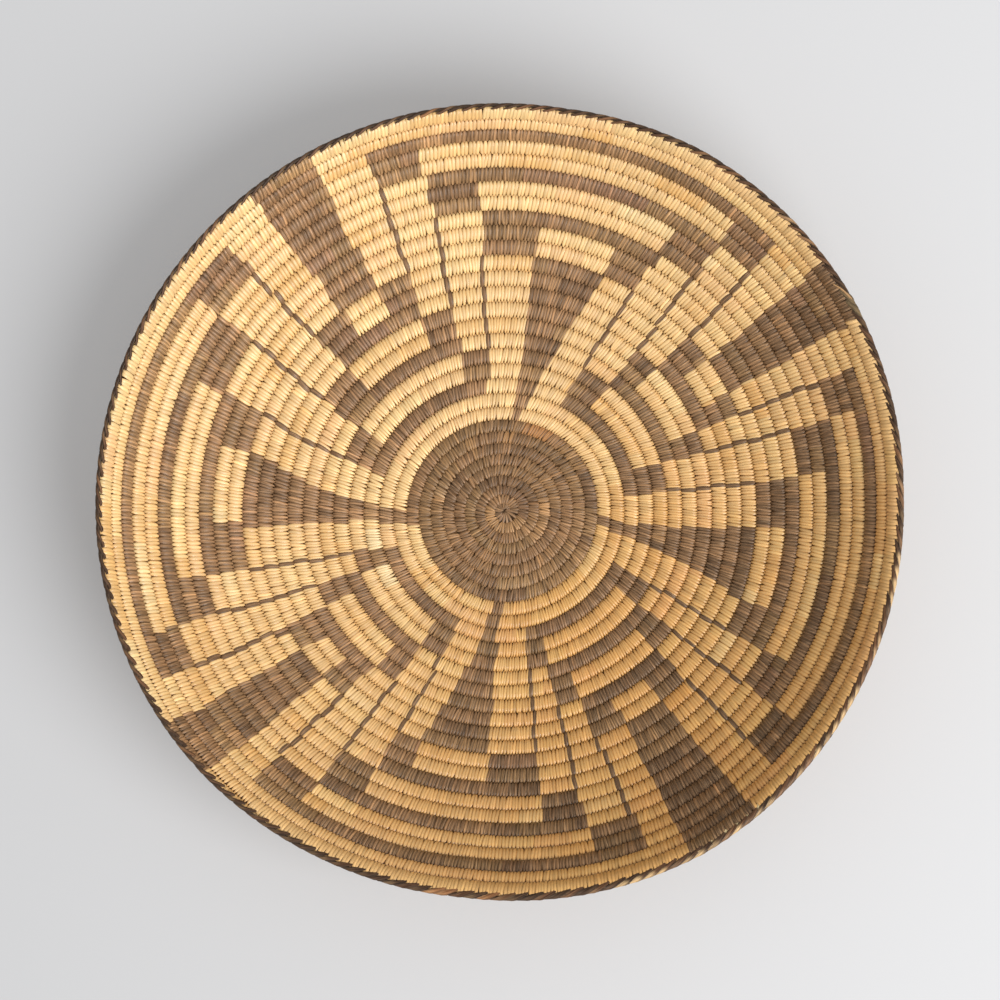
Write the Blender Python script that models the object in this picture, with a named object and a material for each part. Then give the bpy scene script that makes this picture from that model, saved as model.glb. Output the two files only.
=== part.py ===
"""A coiled basketry tray: one long bundle wound in a spiral and sewn row by row.

Lengths are in metres and +Z is up. The origin is the start of the coil, on the
surface that the tray stands on. Seen from above, the coil runs anticlockwise.

The coil lies along a profile, a curve that leaves the middle of the floor and climbs
the wall. A place on the coil is told by its turn, in rounds: nought is the edge of
the dark disc, the centre has negative turns, and whole turns are at START_ANGLE.
"""
import math
from collections import namedtuple

import bmesh
import bpy
from mathutils import Vector

TRAY_NAME = "basketry_tray"

# Rounds of the coil. The last row runs on a little past the start of the others.
CENTRE_ROUNDS = 7.5
WALL_ROUNDS = 22
RUN_ON_ROUNDS = 0.125
GROWING_ROUNDS = 3.0
THINNING_ROUNDS = 2.5
TAPER_ROUNDS = 0.125
FOUNDATION_SHORT_ROUNDS = 0.5
STATIONS_PER_ROUND = 24
START_ANGLE = math.radians(186)

# Turns at which the coil and the foundation inside it end
END_TURN = WALL_ROUNDS + RUN_ON_ROUNDS
FOUNDATION_END_TURN = END_TURN - FOUNDATION_SHORT_ROUNDS

# Thickness of the sewn coil from its start to its end, and the knot it starts from
COIL_AT_START = 0.0043
COIL_AT_DISC_EDGE = 0.0060
COIL_ON_WALL = 0.0073
COIL_AT_TAPER = 0.0060
COIL_AT_END = 0.0018
KNOT_RADIUS = 0.0026
KNOT_HEIGHT = 0.0036

# Profile of the tray: a flat floor, then a slope that grows up to the rim
FLOOR_RADIUS = 0.045
RIM_SLOPE = math.radians(54)
SLOPE_POWER = 1.5

# Bore of the sewing, as a share of the coil's radius
BORE_SHARE = 0.72

# Braided edge, and the end of its last strand, tucked in beside it
BRAID_RADIUS = 0.0016
TAIL_RADIUS = 0.0011
TAIL_ANGLE = math.radians(30)
TAIL_START_SHARE = 0.2
TAIL_END_SHARE = 0.7
TAIL_TIP_SHARE = 0.4

# Clearances, and how far a cutter runs on past what it cuts
ROUND_GAP = 0.0005
SEAT_GAP = 0.0003
CUT_OVERRUN = 0.0050

# Depth of the flat underside, as a share of what is cut
FLAT_CUT_SHARE = 0.1

# Facets: a tube has four sides at resolution 0 and six at resolution 1
SQUARE = 0
HEXAGON = 1
KNOT_SEGMENTS = 12
KNOT_RINGS = 6
WELD_SHARE = 0.002
SHARP_ANGLE = math.radians(65)

# A hexagon lies on a side, and a square is turned by half a corner to do so
HEXAGON_CORNER = math.radians(60)
HEXAGON_SIDE_SHARE = math.sin(HEXAGON_CORNER)
SQUARE_TURN = math.radians(45)

DARK_SPLINT = ("dark splint", (0.12, 0.075, 0.045), 0.55)
PALE_SPLINT = ("pale splint", (0.62, 0.42, 0.20), 0.50)
SPLIT_STEMS = ("split stems", (0.42, 0.25, 0.11), 0.75)

Station = namedtuple("Station", "turn angle along radius height slope thickness")


def thickness_at(turn):
    """Thickness of the sewn coil, which changes steadily from each mark to the next."""
    marks = [
        (-CENTRE_ROUNDS, COIL_AT_START),
        (0.0, COIL_AT_DISC_EDGE),
        (GROWING_ROUNDS, COIL_ON_WALL),
        (END_TURN - THINNING_ROUNDS, COIL_ON_WALL),
        (END_TURN - TAPER_ROUNDS, COIL_AT_TAPER),
        (END_TURN, COIL_AT_END),
    ]
    for (low, thin), (high, thick) in zip(marks, marks[1:]):
        if turn <= high:
            return thin + (thick - thin) * (turn - low) / (high - low)
    return COIL_AT_END


def station_turns():
    """Turns of the stations. Whole turns fall halfway between two of them."""
    count = round((CENTRE_ROUNDS + END_TURN) * STATIONS_PER_ROUND)
    return [(index + 0.5) / STATIONS_PER_ROUND - CENTRE_ROUNDS for index in range(count)]


def distances_along_profile(turns):
    """Distance of each station from the middle of the tray, along the profile.

    The first round winds about the knot, and each later station lies against the
    station one round before it.
    """
    start = COIL_AT_START
    along = []
    for index, turn in enumerate(turns):
        inner = index - STATIONS_PER_ROUND
        if inner < 0:
            share = index / STATIONS_PER_ROUND
            along.append(KNOT_RADIUS + ROUND_GAP + start / 2 + share * (start + ROUND_GAP))
        else:
            touching = (thickness_at(turns[inner]) + thickness_at(turn)) / 2
            along.append(along[inner] + touching + ROUND_GAP)
    return along


def slope_at(along, rim):
    """Slope of the profile at a distance from the middle, nought on the floor."""
    share = (along - FLOOR_RADIUS) / (rim - FLOOR_RADIUS)
    return RIM_SLOPE * max(share, 0.0) ** SLOPE_POWER


def floor_height(turn):
    """Height of the centre line of a coil that lies on its flat on the ground."""
    thickness = thickness_at(min(turn, GROWING_ROUNDS))
    return thickness * (HEXAGON_SIDE_SHARE / 2 - FLAT_CUT_SHARE)


def coil_stations():
    """The centre line of the whole coil, from the knot to the rim."""
    turns = station_turns()
    along = distances_along_profile(turns)
    radius = along[0]
    rise = 0.0
    stations = []
    for index, turn in enumerate(turns):
        slope = slope_at(along[index], along[-1])
        step = along[index] - along[max(index - 1, 0)]
        radius += step * math.cos(slope)
        rise += step * math.sin(slope)
        stations.append(Station(
            turn=turn,
            angle=START_ANGLE + 2 * math.pi * turn,
            along=along[index],
            radius=radius,
            height=floor_height(turn) + rise,
            slope=slope,
            thickness=thickness_at(turn),
        ))
    return stations


def point_of(station, outward=0.0, above=0.0):
    """A station's place, moved outward along the profile or square to it."""
    radius = station.radius + outward * math.cos(station.slope) - above * math.sin(station.slope)
    height = station.height + outward * math.sin(station.slope) + above * math.cos(station.slope)
    return Vector((radius * math.cos(station.angle), radius * math.sin(station.angle), height))


def halfway(inside, outside, pull):
    """The square end of a length of coil, halfway between two stations.

    It is pulled back by a clearance, or runs on where pull is negative.
    """
    start, end = point_of(inside), point_of(outside)
    point = start.lerp(end, 0.5) + (start - end).normalized() * pull
    return point, (inside.thickness + outside.thickness) / 2, (inside.slope + outside.slope) / 2


def coil_length(stations, first_turn, last_turn, first_pull, last_pull):
    """Points, thicknesses and slopes of the coil between two turns."""
    inside = [i for i, s in enumerate(stations) if first_turn < s.turn < last_turn]
    first, last = inside[0], inside[-1]
    rows = [(point_of(stations[i]), stations[i].thickness, stations[i].slope) for i in inside]
    if first > 0:
        rows.insert(0, halfway(stations[first], stations[first - 1], first_pull))
    if last < len(stations) - 1:
        rows.append(halfway(stations[last], stations[last + 1], last_pull))
    return zip(*rows)


def sewn_radii(thicknesses):
    return [thickness / 2 for thickness in thicknesses]


def bore_radii(thicknesses):
    return [BORE_SHARE * thickness / 2 for thickness in thicknesses]


def foundation_radii(thicknesses):
    """Corner radii of the square bundle, whose sides clear the bore's by SEAT_GAP."""
    return [radius - SEAT_GAP / math.cos(SQUARE_TURN) for radius in bore_radii(thicknesses)]


def make_material(finish):
    name, colour, roughness = finish
    material = bpy.data.materials.new(name)
    material.use_nodes = True
    shader = material.node_tree.nodes["Principled BSDF"]
    shader.inputs["Base Color"].default_value = (*colour, 1.0)
    shader.inputs["Roughness"].default_value = roughness
    shader.inputs["Metallic"].default_value = 0.0
    return material


def make_collection(name):
    collection = bpy.data.collections.new(name)
    bpy.context.scene.collection.children.link(collection)
    return collection


def move_to(collection, thing):
    for other in thing.users_collection:
        other.objects.unlink(thing)
    collection.objects.link(thing)


def make_tube(name, points, radii, tilts, sides, collection, cyclic=False):
    """One unbroken tube through the points, as a mesh with its caps welded on."""
    curve = bpy.data.curves.new(name, "CURVE")
    curve.dimensions = "3D"
    curve.twist_mode = "Z_UP"
    curve.fill_mode = "FULL"
    curve.bevel_depth = max(radii)
    curve.bevel_resolution = sides
    curve.use_fill_caps = not cyclic
    spline = curve.splines.new("POLY")
    spline.points.add(len(points) - 1)
    spline.use_cyclic_u = cyclic
    for control, point, radius, tilt in zip(spline.points, points, radii, tilts):
        control.co = (*point, 1.0)
        control.radius = radius / curve.bevel_depth
        control.tilt = tilt
    guide = bpy.data.objects.new(name + "_guide", curve)
    collection.objects.link(guide)

    evaluated = guide.evaluated_get(bpy.context.evaluated_depsgraph_get())
    mesh = bpy.data.meshes.new_from_object(evaluated)
    surface = bmesh.new()
    surface.from_mesh(mesh)
    bmesh.ops.remove_doubles(surface, verts=surface.verts, dist=WELD_SHARE * min(radii))
    surface.to_mesh(mesh)
    surface.free()
    mesh.shade_smooth()
    mesh.set_sharp_from_angle(angle=SHARP_ANGLE)
    tube = bpy.data.objects.new(name, mesh)
    tube.matrix_world = guide.matrix_world.copy()
    collection.objects.link(tube)
    bpy.data.objects.remove(guide)
    bpy.data.curves.remove(curve)
    return tube


def make_cutter(thing):
    thing.hide_render = True
    thing.display_type = "WIRE"
    return thing


def cut(solid, cutter, name):
    difference = solid.modifiers.new(name, "BOOLEAN")
    difference.operation = "DIFFERENCE"
    difference.object = cutter


def make_ground(reach, collection):
    """A block whose top is the plane that the tray stands on."""
    bpy.ops.mesh.primitive_cube_add(size=1)
    ground = bpy.context.object
    ground.name = "ground_cutter"
    ground.scale = (2 * reach, 2 * reach, CUT_OVERRUN)
    ground.location.z = -CUT_OVERRUN / 2
    move_to(collection, ground)
    return make_cutter(ground)


def make_start_knot(collection, ground):
    """The knot of stems that the coil starts from, flattened like a button."""
    bpy.ops.mesh.primitive_uv_sphere_add(
        segments=KNOT_SEGMENTS, ring_count=KNOT_RINGS, radius=KNOT_RADIUS
    )
    knot = bpy.context.object
    knot.name = "start_knot"
    knot.scale.z = KNOT_HEIGHT / (2 * KNOT_RADIUS)
    knot.location.z = KNOT_HEIGHT * (0.5 - FLAT_CUT_SHARE)
    move_to(collection, knot)
    knot.data.shade_smooth()
    cut(knot, ground, "flat underside")
    return knot


def make_centre_coil(stations, collection, ground):
    """The dark disc: the first rounds, too fine to part from the stems inside them."""
    points, thicknesses, slopes = coil_length(
        stations, -CENTRE_ROUNDS, 0, SEAT_GAP / 2, SEAT_GAP / 2
    )
    radii = sewn_radii(thicknesses)
    coil = make_tube("centre_coil", points, radii, slopes, HEXAGON, collection)
    cut(coil, ground, "flat underside")
    return coil


def make_foundation(stations, collection):
    """The bundle of split stems inside the sewn rows, in one unbroken winding."""
    points, thicknesses, slopes = coil_length(
        stations, 0, FOUNDATION_END_TURN, SEAT_GAP / 2, SEAT_GAP / 2
    )
    radii = foundation_radii(thicknesses)
    tilts = [slope + SQUARE_TURN for slope in slopes]
    return make_tube("foundation", points, radii, tilts, SQUARE, collection)


def make_bore(stations, row, cutters):
    """The space for the foundation in a row. It ends with the foundation."""
    last_turn = min(row, FOUNDATION_END_TURN)
    last_pull = -CUT_OVERRUN if last_turn == row else -SEAT_GAP
    points, thicknesses, slopes = coil_length(
        stations, row - 1, last_turn, -CUT_OVERRUN, last_pull
    )
    radii = bore_radii(thicknesses)
    tilts = [slope + SQUARE_TURN for slope in slopes]
    return make_cutter(
        make_tube(f"bore_cutter_{row:02d}", points, radii, tilts, SQUARE, cutters)
    )


def reaches_ground(stations, row):
    """Whether the lowest corner of a row dips below the plane the tray stands on."""
    return any(
        s.height < math.sin(HEXAGON_CORNER + s.slope) * s.thickness / 2
        for s in stations
        if row - 1 < s.turn < row
    )


def make_sewn_row(stations, row, collection, cutters, ground):
    """The sewing of one round: a sleeve about the foundation."""
    last_turn = END_TURN if row == WALL_ROUNDS else row
    points, thicknesses, slopes = coil_length(
        stations, row - 1, last_turn, SEAT_GAP / 2, SEAT_GAP / 2
    )
    radii = sewn_radii(thicknesses)
    sleeve = make_tube(f"sewn_row_{row:02d}", points, radii, slopes, HEXAGON, collection)
    cut(sleeve, make_bore(stations, row, cutters), "bore")
    if reaches_ground(stations, row):
        cut(sleeve, ground, "flat underside")
    return sleeve


def make_rim_braid(last_round, collection):
    """The bead of the braided edge, seated all round on the last round of the coil."""
    points = [
        point_of(s, outward=s.thickness / 2 + SEAT_GAP + BRAID_RADIUS) for s in last_round
    ]
    radii = [BRAID_RADIUS] * len(points)
    tilts = [s.slope for s in last_round]
    return make_tube("rim_braid", points, radii, tilts, HEXAGON, collection, cyclic=True)


def make_braid_tail(last_round, collection):
    """The end of the braid's last strand, laid on the inner face of the last round."""
    step = 2 * math.pi / STATIONS_PER_ROUND
    before = int((TAIL_ANGLE - last_round[0].angle) % (2 * math.pi) / step)
    ends = last_round[before], last_round[before + 1]
    start, end = (
        point_of(s, above=HEXAGON_SIDE_SHARE * s.thickness / 2 + SEAT_GAP + TAIL_RADIUS)
        for s in ends
    )
    third = (TAIL_END_SHARE - TAIL_START_SHARE) / 3
    points = [start.lerp(end, TAIL_START_SHARE + third * index) for index in range(4)]
    radii = [TAIL_RADIUS * share for share in (TAIL_TIP_SHARE, 1, 1, TAIL_TIP_SHARE)]
    tilts = [ends[0].slope] * len(points)
    return make_tube("braid_tail", points, radii, tilts, HEXAGON, collection)


def print_gaps(stations):
    """Print the least gap between neighbouring rounds, measured on their points."""
    for name, radii_of, first_turn, last_turn in (
        ("centre_coil", sewn_radii, -CENTRE_ROUNDS, 0),
        ("sewn rows", sewn_radii, 0, END_TURN),
        ("foundation", foundation_radii, 0, FOUNDATION_END_TURN),
    ):
        rounds = [s for s in stations if first_turn < s.turn < last_turn]
        radii = radii_of([s.thickness for s in rounds])
        points = [point_of(s) for s in rounds]
        gaps = [
            (points[i] - points[i - STATIONS_PER_ROUND]).length
            - radii[i] - radii[i - STATIONS_PER_ROUND]
            for i in range(STATIONS_PER_ROUND, len(points))
        ]
        print(f"{name}: least gap to itself {min(gaps) * 1000:.2f} mm")


def main():
    for old in list(bpy.data.objects):
        bpy.data.objects.remove(old)
    tray = make_collection(TRAY_NAME)
    cutters = make_collection("cutters")

    stations = coil_stations()
    last_round = stations[-STATIONS_PER_ROUND:]
    ground = make_ground(stations[-1].radius, cutters)

    knot = make_start_knot(tray, ground)
    centre = make_centre_coil(stations, tray, ground)
    foundation = make_foundation(stations, tray)
    rows = [
        make_sewn_row(stations, row, tray, cutters, ground)
        for row in range(1, WALL_ROUNDS + 1)
    ]
    braid = make_rim_braid(last_round, tray)
    tail = make_braid_tail(last_round, tray)

    finishes = (
        (DARK_SPLINT, [knot, centre, braid, tail]),
        (PALE_SPLINT, rows),
        (SPLIT_STEMS, [foundation]),
    )
    for finish, pieces in finishes:
        material = make_material(finish)
        for piece in pieces:
            piece.data.materials.append(material)
    print_gaps(stations)


main()
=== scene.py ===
"""Looks of the coiled basketry tray: every stitch of the sewing, the braided rim and the light.

Lengths are in metres, +Z is up and the origin is the start of the coil. A place on the coil
is told by its turn, in rounds, as in the CAD: nought is the edge of the dark disc.
"""

import math

import bpy
import numpy as np
from mathutils import Matrix, Vector


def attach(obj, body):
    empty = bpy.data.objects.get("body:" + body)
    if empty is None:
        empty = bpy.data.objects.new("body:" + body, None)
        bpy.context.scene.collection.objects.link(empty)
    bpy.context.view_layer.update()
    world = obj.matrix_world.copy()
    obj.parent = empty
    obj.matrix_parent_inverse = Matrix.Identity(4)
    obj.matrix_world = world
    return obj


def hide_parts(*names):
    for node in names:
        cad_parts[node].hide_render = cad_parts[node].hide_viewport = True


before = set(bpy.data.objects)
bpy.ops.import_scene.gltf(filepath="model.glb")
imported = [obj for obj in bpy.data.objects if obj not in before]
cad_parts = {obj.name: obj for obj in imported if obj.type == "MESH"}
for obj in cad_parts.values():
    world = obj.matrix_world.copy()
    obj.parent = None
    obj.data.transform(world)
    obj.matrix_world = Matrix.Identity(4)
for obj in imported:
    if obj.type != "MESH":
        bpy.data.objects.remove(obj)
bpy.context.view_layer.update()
rng = np.random.default_rng(22)

TAU = 2 * math.pi
MM = 0.001

# the coil, as in the CAD
CENTRE_ROUNDS, WALL_ROUNDS, END_TURN = 7.5, 22, 22.125
START_ANGLE = math.radians(186)
ROUND_GAP, SEAT_GAP = 0.0005, 0.0003
KNOT_RADIUS, BRAID_RADIUS = 0.0026, 0.0016
FLOOR_RADIUS, RIM_SLOPE, SLOPE_POWER = 0.045, math.radians(54), 1.5
FLOOR_HEIGHT_SHARE = math.sin(math.radians(60)) / 2 - 0.1
TURN_MARKS = (-7.5, 0.0, 3.0, END_TURN - 2.5, END_TURN - 0.125, END_TURN)
THICKNESS_MARKS = (0.0043, 0.0060, 0.0073, 0.0073, 0.0060, 0.0018)
PER_ROUND = 360


def thickness_at(turn):
    return np.interp(turn, TURN_MARKS, THICKNESS_MARKS)


def wind_coil():
    """Turn, radius, height and slope along the centre line of the whole coil."""
    count = int((CENTRE_ROUNDS + END_TURN) * PER_ROUND) + 1
    turn = np.arange(count) / PER_ROUND - CENTRE_ROUNDS
    thick = thickness_at(turn)
    along = np.empty(count)
    start = THICKNESS_MARKS[0]
    first = KNOT_RADIUS + ROUND_GAP + start / 2
    for i in range(count):
        j = i - PER_ROUND
        if j < 0:
            along[i] = first + i / PER_ROUND * (start + ROUND_GAP)
        else:
            along[i] = along[j] + (thick[i] + thick[j]) / 2 + ROUND_GAP
    share = (along - FLOOR_RADIUS) / (along[-1] - FLOOR_RADIUS)
    slope = RIM_SLOPE * np.maximum(share, 0.0) ** SLOPE_POWER
    step = np.diff(along, prepend=along[0])
    radius = along[0] + np.cumsum(step * np.cos(slope))
    rise = np.cumsum(step * np.sin(slope))
    height = thickness_at(np.minimum(turn, TURN_MARKS[2])) * FLOOR_HEIGHT_SHARE + rise
    return turn, radius, height, slope


TURN, RADIUS, HEIGHT, SLOPE = wind_coil()


def radius_at(turn):
    return np.interp(turn, TURN, RADIUS)


def height_at(turn):
    return np.interp(turn, TURN, HEIGHT)


def slope_at(turn):
    return np.interp(turn, TURN, SLOPE)


def angle_at(turn):
    return START_ANGLE + TAU * np.asarray(turn)


GROUND_SOFT = 0.4 * MM


def worn_flat(z):
    """Heights near the ground pressed together, as on a worn underside that never goes below it."""
    pressed = GROUND_SOFT * np.exp((np.minimum(z, GROUND_SOFT) - GROUND_SOFT) / GROUND_SOFT)
    return np.where(z < GROUND_SOFT, pressed, z)


# How far the hand-made coil strays outward from a true spiral, in millimetres to the nearest half,
# at these angles in degrees, with one row for each radius in metres
STRAY_ANGLES = (0, 30, 60, 80, 125, 180, 225, 265, 300, 340)
STRAY_RADII = (0.058, 0.093, 0.125, 0.182, 0.200)
STRAYS = (
    (0.5, 0.0, -1.5, -2.5, -2.0, -0.5, -0.5, 1.5, 1.0, 1.0),
    (-1.0, -1.5, -2.0, -2.5, -2.5, -0.5, -1.5, -0.5, -1.5, 0.0),
    (-1.0, -1.5, -1.5, -1.0, -1.5, 0.0, -2.0, -3.0, -3.0, 0.0),
    (0.0, 1.0, 1.0, 0.0, 0.5, 0.0, -0.5, -3.5, 1.0, 1.0),
    (0.0, 1.5, 1.0, -2.0, -2.0, -1.5, -1.0, -2.5, 2.0, 1.0),
)


def out_of_round(radius, angle):
    """The radius of a point with the hand-made coil's stray added."""
    degrees = np.degrees(angle) % 360
    strays = [np.interp(degrees, STRAY_ANGLES, stray, period=360) for stray in STRAYS]
    stray = strays[0] * np.clip(radius / STRAY_RADII[0], 0, 1)
    for low, high, this, following in zip(STRAY_RADII, STRAY_RADII[1:], strays, strays[1:]):
        stray = stray + (following - this) * np.clip((radius - low) / (high - low), 0, 1)
    return radius + stray * MM


# The least radius that a way sideways is turned about
LEAST_RADIUS = 0.8 * MM


def place(turn, outward, above, sideways):
    """Points beside the coil: outward along the profile, above it, and sideways, anticlockwise."""
    slope = slope_at(turn)
    radius = radius_at(turn) + outward * np.cos(slope) - above * np.sin(slope)
    z = height_at(turn) + outward * np.sin(slope) + above * np.cos(slope)
    angle = angle_at(turn) + sideways / np.maximum(radius, LEAST_RADIUS)
    radius = out_of_round(radius, angle)
    return np.stack((radius * np.cos(angle), radius * np.sin(angle), worn_flat(z)), axis=-1)


# meshes
def add_object(name, data):
    """An object that holds the data."""
    thing = bpy.data.objects.new(name, data)
    bpy.context.scene.collection.objects.link(thing)
    return thing


def signed_power(value, power):
    return np.sign(value) * np.abs(value) ** power


def fill(data, name, values, kind=np.float32):
    data.foreach_set(name, values.astype(kind).ravel())


def make_object(name, points, quads, colours, fibres, uvs=None):
    """A smooth mesh that knows its tint and its place on the splint at each point."""
    colours = np.broadcast_to(colours, points.shape).reshape(-1, 3)
    points = points.reshape(-1, 3)
    mesh = bpy.data.meshes.new(name)
    mesh.vertices.add(len(points))
    fill(mesh.vertices, "co", points)
    mesh.loops.add(quads.size)
    fill(mesh.loops, "vertex_index", quads, np.int32)
    mesh.polygons.add(len(quads))
    fill(mesh.polygons, "loop_start", np.arange(0, quads.size, 4), np.int32)
    fill(mesh.polygons, "use_smooth", np.ones(len(quads)), bool)
    tint = mesh.attributes.new("tint", "FLOAT_COLOR", "POINT")
    rgba = np.concatenate((colours, np.ones((len(colours), 1))), axis=1)
    fill(tint.data, "color", rgba)
    fibre = mesh.attributes.new("fibre", "FLOAT_VECTOR", "POINT")
    fill(fibre.data, "vector", fibres)
    if uvs is not None:
        layer = mesh.uv_layers.new(name="OFBake")
        fill(layer.data, "uv", uvs)
    mesh.update(calc_edges=True)
    mesh.validate()
    return add_object(name, mesh)


def splint_map(points, across, along, seed):
    """Each point's place on its splint, in millimetres across and along it, and the splint's seed."""
    values = [np.broadcast_to(value, points.shape[:-1]) for value in (across, along, seed)]
    return np.stack(values, axis=-1)


def strip_corners(length, width, closed):
    """The corners of the quads of a strip, as steps along it and across it."""
    last = length if closed else length - 1
    along, across = np.meshgrid(np.arange(last), np.arange(width - 1), indexing="ij")
    order = ((0, 0), (1, 0), (1, 1), (0, 1)) if closed else ((0, 0), (0, 1), (1, 1), (1, 0))
    i = np.stack([along + step for step, _ in order], axis=-1).reshape(-1, 4)
    j = np.stack([across + step for _, step in order], axis=-1).reshape(-1, 4)
    return i, j


def strip_quads(count, length, width, closed):
    """Quads of strips of length by width points each, open or closed along their length."""
    i, j = strip_corners(length, width, closed)
    first = np.arange(count)[:, None, None] * (length * width)
    return (i % length * width + j + first).reshape(-1, 4)


# The margin round a strip in its own rectangle, as a share of the width
UV_INSET = 0.10


def strip_uvs(count, length, width, closed, aspect):
    """Every strip in a rectangle of its own, for baking."""
    columns = max(1, math.ceil(math.sqrt(aspect * count)))
    rows = math.ceil(count / columns)
    i, j = strip_corners(length, width, closed)
    inset = UV_INSET / aspect
    across = UV_INSET + (1 - 2 * UV_INSET) * j / (width - 1)
    along = inset + (1 - 2 * inset) * i / (length if closed else length - 1)
    index = np.arange(count)[:, None, None]
    uvs = (across + index % columns) / columns, (along + index // columns) / rows
    return np.stack(uvs, axis=-1).reshape(-1, 2)


def strips_object(name, points, colours, fibres, closed, aspect):
    """A piece made of strips, from their points by strip, along it and across it."""
    shape = (*points.shape[:3], closed)
    return make_object(name, points, strip_quads(*shape), colours, fibres, strip_uvs(*shape, aspect))


def fullness(share, start, end, power):
    """How full a strip is along its way. Start and end: how far a tip reaches past it, its length."""
    filling, narrowing = (share + start[0]) / start[1], (1 + end[0] - share) / end[1]
    return np.clip(np.minimum(filling, narrowing), 0, 1) ** power


def strip_shade(across, full, edge, least):
    """Brightness of a strip: darker at its edges by edge, and at its tips down to least."""
    return (1 - edge * (np.abs(across) > EDGE_FROM)) * (least + (1 - least) * full)


# How far apart a tube's sides and rings lie in the noise of its fibres
SIDE_APART, RING_APART = 0.8, 0.1


def tube_object(name, points, tint, closed):
    """A tube from its rings of points. Closed, its last ring is joined to its first."""
    rings, sides = points.shape[:2]
    i = np.arange(rings if closed else rings - 1)[:, None]
    j = np.arange(sides)[None, :]
    here, beyond, after = i * sides, (i + 1) % rings * sides, (j + 1) % sides
    quads = np.stack((here + j, here + after, beyond + after, beyond + j), axis=-1).reshape(-1, 4)
    fibres = splint_map(points, j * SIDE_APART, np.arange(rings)[:, None] * RING_APART, 0.0)
    return make_object(name, points, quads, tint, fibres)


# colours, as in the photograph, in linear red, green and blue
def linear(*rgb):
    value = np.asarray(rgb, dtype=float) / 255
    return np.where(value <= 0.04045, value / 12.92, ((value + 0.055) / 1.055) ** 2.4)


PALE = linear(238, 200, 142)
PALE_YELLOW = linear(242, 208, 148)
PALE_PINK = linear(238, 195, 140)
PALE_DEEP = linear(230, 186, 122)
PALE_WHITE = linear(248, 223, 173)
DARK = linear(151, 113, 77)
DARK_BLACK = linear(119, 87, 58)
DARK_PURPLE = linear(138, 101, 74)
DARK_OLIVE = linear(151, 116, 76)
DARK_TAN = linear(176, 134, 90)
STEMS = linear(104, 72, 42)
BRAID_TINTS = (linear(66, 42, 26), linear(96, 62, 39), linear(124, 84, 53), linear(176, 136, 98))
ORANGE_STRAND, TAIL_TINT = linear(204, 138, 84), linear(182, 142, 98)
# The most of a second tint that is mixed into a splint's own
MOST_MIXED = 0.7


def pick(tints, weights, count):
    """Tints drawn by weight, each mixed with another by a share of its own."""
    tints = np.asarray(tints)
    weights = np.asarray(weights) / np.sum(weights)
    one = tints[rng.choice(len(tints), count, p=weights)]
    other = tints[rng.choice(len(tints), count, p=weights)]
    mix = rng.random((count, 1)) * MOST_MIXED
    return one * (1 - mix) + other * mix


def near(degrees, middle, spread):
    """How near an angle is to the middle of a stretch of the rim, from nought to one."""
    return np.exp(-(((degrees - middle + 180) % 360 - 180) / spread) ** 2)


# The disc is deeper and yellower than the fret
DISC_TINT = np.array((0.86, 0.82, 0.74))
# Lighter patches in the dark disc: turns and degrees from and to, a tint and how much of it
DISC_PATCHES = (
    (-1, 0, 58, 76, (206, 142, 80), 0.85), (-1, 0, 24, 50, (176, 132, 84), 0.5),
    (-2, -1, 82, 92, (204, 152, 96), 0.7), (-3, -1, 112, 119, (196, 150, 98), 0.6),
    (-3, -2, 157, 168, (206, 172, 132), 0.6), (-3, -1, 200, 212, (180, 140, 98), 0.6),
    (-1, 0, 239, 248, (190, 146, 98), 0.6), (-2, -1, 264, 290, (184, 148, 104), 0.6),
    (-2, -0.5, 342, 362, (180, 142, 98), 0.6), (-1, 0, 300, 340, (170, 128, 84), 0.5),
)
# The least that a stitch there takes of the tint
LEAST_OF_PATCH = 0.4


def mottle_disc(turn, tints):
    """The tints with the disc's lighter patches in them, uneven from stitch to stitch."""
    degrees = np.degrees(angle_at(turn)) % 360
    for low, high, first, last, tint, much in DISC_PATCHES:
        here = (turn > low) & (turn < high) & ((degrees - first) % 360 < last - first)
        mix = much * rng.uniform(LEAST_OF_PATCH, 1.0, (int(here.sum()), 1))
        tints[here] = tints[here] * (1 - mix) + linear(*tint) * mix
    return tints


# Painted shade: the wall on the lamp's side, whose inner face turns away from it, is painted deeper.
# Painted sheen: on the far side, which faces the lamp, the dark splints are painted lighter.
SHADED_SIDE_AT, SHADED_SIDE_SPREAD = 303, 80
SHEEN_SIDE_AT, SHEEN_SIDE_SPREAD, SIDE_SHEEN = 150, 95, 0.26
SIDE_SHADE_PALE, SIDE_SHADE_DARK = np.array((0.26, 0.40, 0.59)), np.array((0.34, 0.38, 0.46))


def side_shade_and_sheen(turn, dark):
    """What each stitch's tint is multiplied by, for the painted shade and the painted sheen on the wall."""
    degrees = np.degrees(angle_at(turn))
    wall = turn > 0
    much = np.where(dark[:, None], SIDE_SHADE_DARK, SIDE_SHADE_PALE)
    side_sheen_factor = 1 + SIDE_SHEEN * near(degrees, SHEEN_SIDE_AT, SHEEN_SIDE_SPREAD) * dark * wall
    return side_sheen_factor[:, None] - near(degrees, SHADED_SIDE_AT, SHADED_SIDE_SPREAD)[:, None] * much * wall[:, None]


# Tints of pale and of dark splints, their weights, and how much the stitches' brightness varies
SPLINTS = (
    ((PALE, PALE_YELLOW, PALE_PINK, PALE_DEEP, PALE_WHITE), (5.4, 2.4, 0.6, 1.1, 0.22), 0.07),
    ((DARK, DARK_BLACK, DARK_PURPLE, DARK_OLIVE, DARK_TAN), (6, 2.5, 0.5, 3, 0.3), 0.19),
)
FEWEST_STITCHES, MOST_STITCHES = 7, 21


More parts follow.
